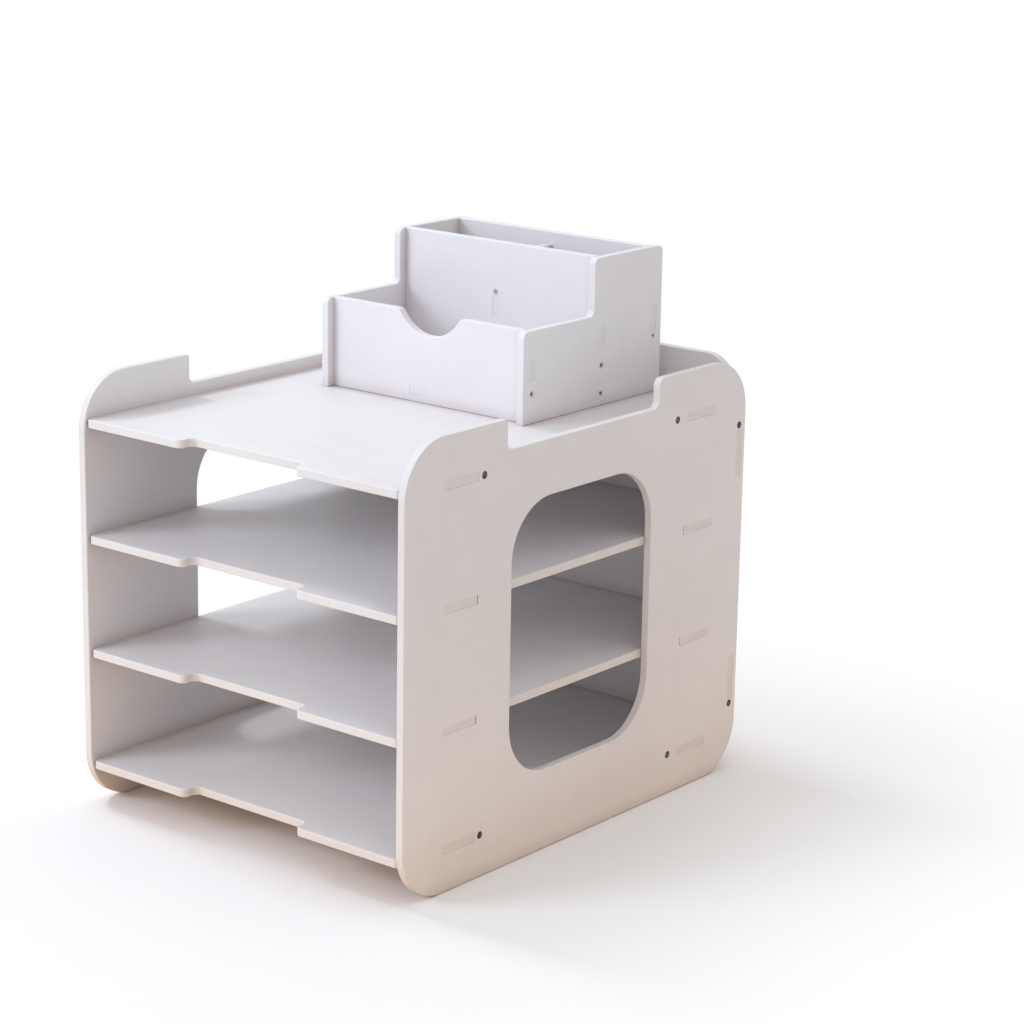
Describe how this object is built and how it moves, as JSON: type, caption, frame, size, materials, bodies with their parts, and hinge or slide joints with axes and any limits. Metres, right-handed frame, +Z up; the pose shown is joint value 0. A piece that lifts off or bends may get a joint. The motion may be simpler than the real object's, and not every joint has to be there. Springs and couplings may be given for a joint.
{
  "type": "document organizer",
  "caption": "Open-front desk organizer for stacked folders: slotted boards between windowed sides, with a loose stepped pen box on its top deck.",
  "frame": {"origin": "on the desk, under the middle of the frame's depth and width", "axes": "+X to the right and +Y to the rear for someone facing the open front, +Z up"},
  "size_m": [0.25, 0.313, 0.3246],
  "materials": {
    "white_board": "satin white foamed board, lightly pebbled, with softly rounded cut edges",
    "dark_screw": "dark coated steel, semi-gloss",
    "bright_screw": "zinc-plated steel, satin"
  },
  "bodies": {
    "frame": {"left_side_panel": "white_board", "right_side_panel": "white_board", "back_panel": "white_board", "bottom_shelf": "white_board", "lower_shelf": "white_board", "upper_shelf": "white_board", "top_deck": "white_board", "deck_screws": "dark_screw", "bottom_shelf_screws": "dark_screw", "back_panel_screws": "dark_screw"},
    "pen_box": {"pen_box_left_side": "white_board", "pen_box_right_side": "white_board", "pen_box_front_panel": "white_board", "pen_box_middle_panel": "white_board", "pen_box_back_panel": "white_board", "pen_box_floor": "white_board", "pen_box_divider": "white_board", "pen_box_front_screws": "bright_screw", "pen_box_middle_screws": "bright_screw", "pen_box_back_screws": "bright_screw", "pen_box_floor_screws": "bright_screw", "pen_box_divider_screws": "bright_screw"}
  },
  "joints": [
    {"name": "pen_box_lift", "type": "slide", "parent": "frame", "child": "pen_box", "axis": [0, 0, 1], "range_m": [0, 0.06]}
  ]
}
